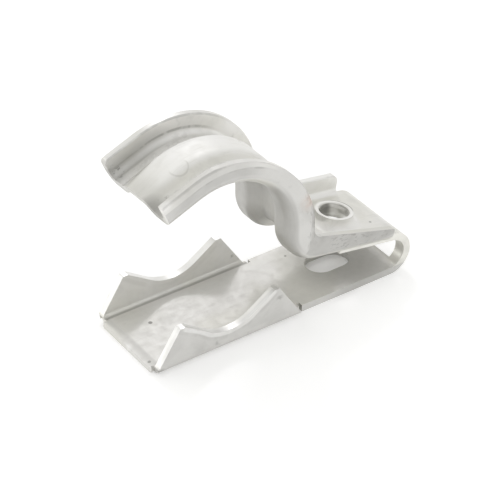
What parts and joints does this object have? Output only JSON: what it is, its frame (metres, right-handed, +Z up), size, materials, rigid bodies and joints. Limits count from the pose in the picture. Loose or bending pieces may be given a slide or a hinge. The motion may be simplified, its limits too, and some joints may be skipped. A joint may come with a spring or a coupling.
{
  "type": "pipe strap",
  "caption": "One-piece folded steel pipe clamp: channel-section strap over the pipe, cradle ears on the base, and a threaded collar for its clamping screw.",
  "frame": {"origin": "on the underside of the base plate, under the axis of the pipe that the strap holds", "axes": "+X from the base's free end to the folded end, +Y across the strip along the pipe, +Z up from the surface that the base lies on"},
  "size_m": [0.0624, 0.0222, 0.0423],
  "materials": {
    "plated_steel": "dull zinc plating, scuffed"
  },
  "bodies": {
    "root": {"pipe_strap": "plated_steel"}
  },
  "joints": []
}
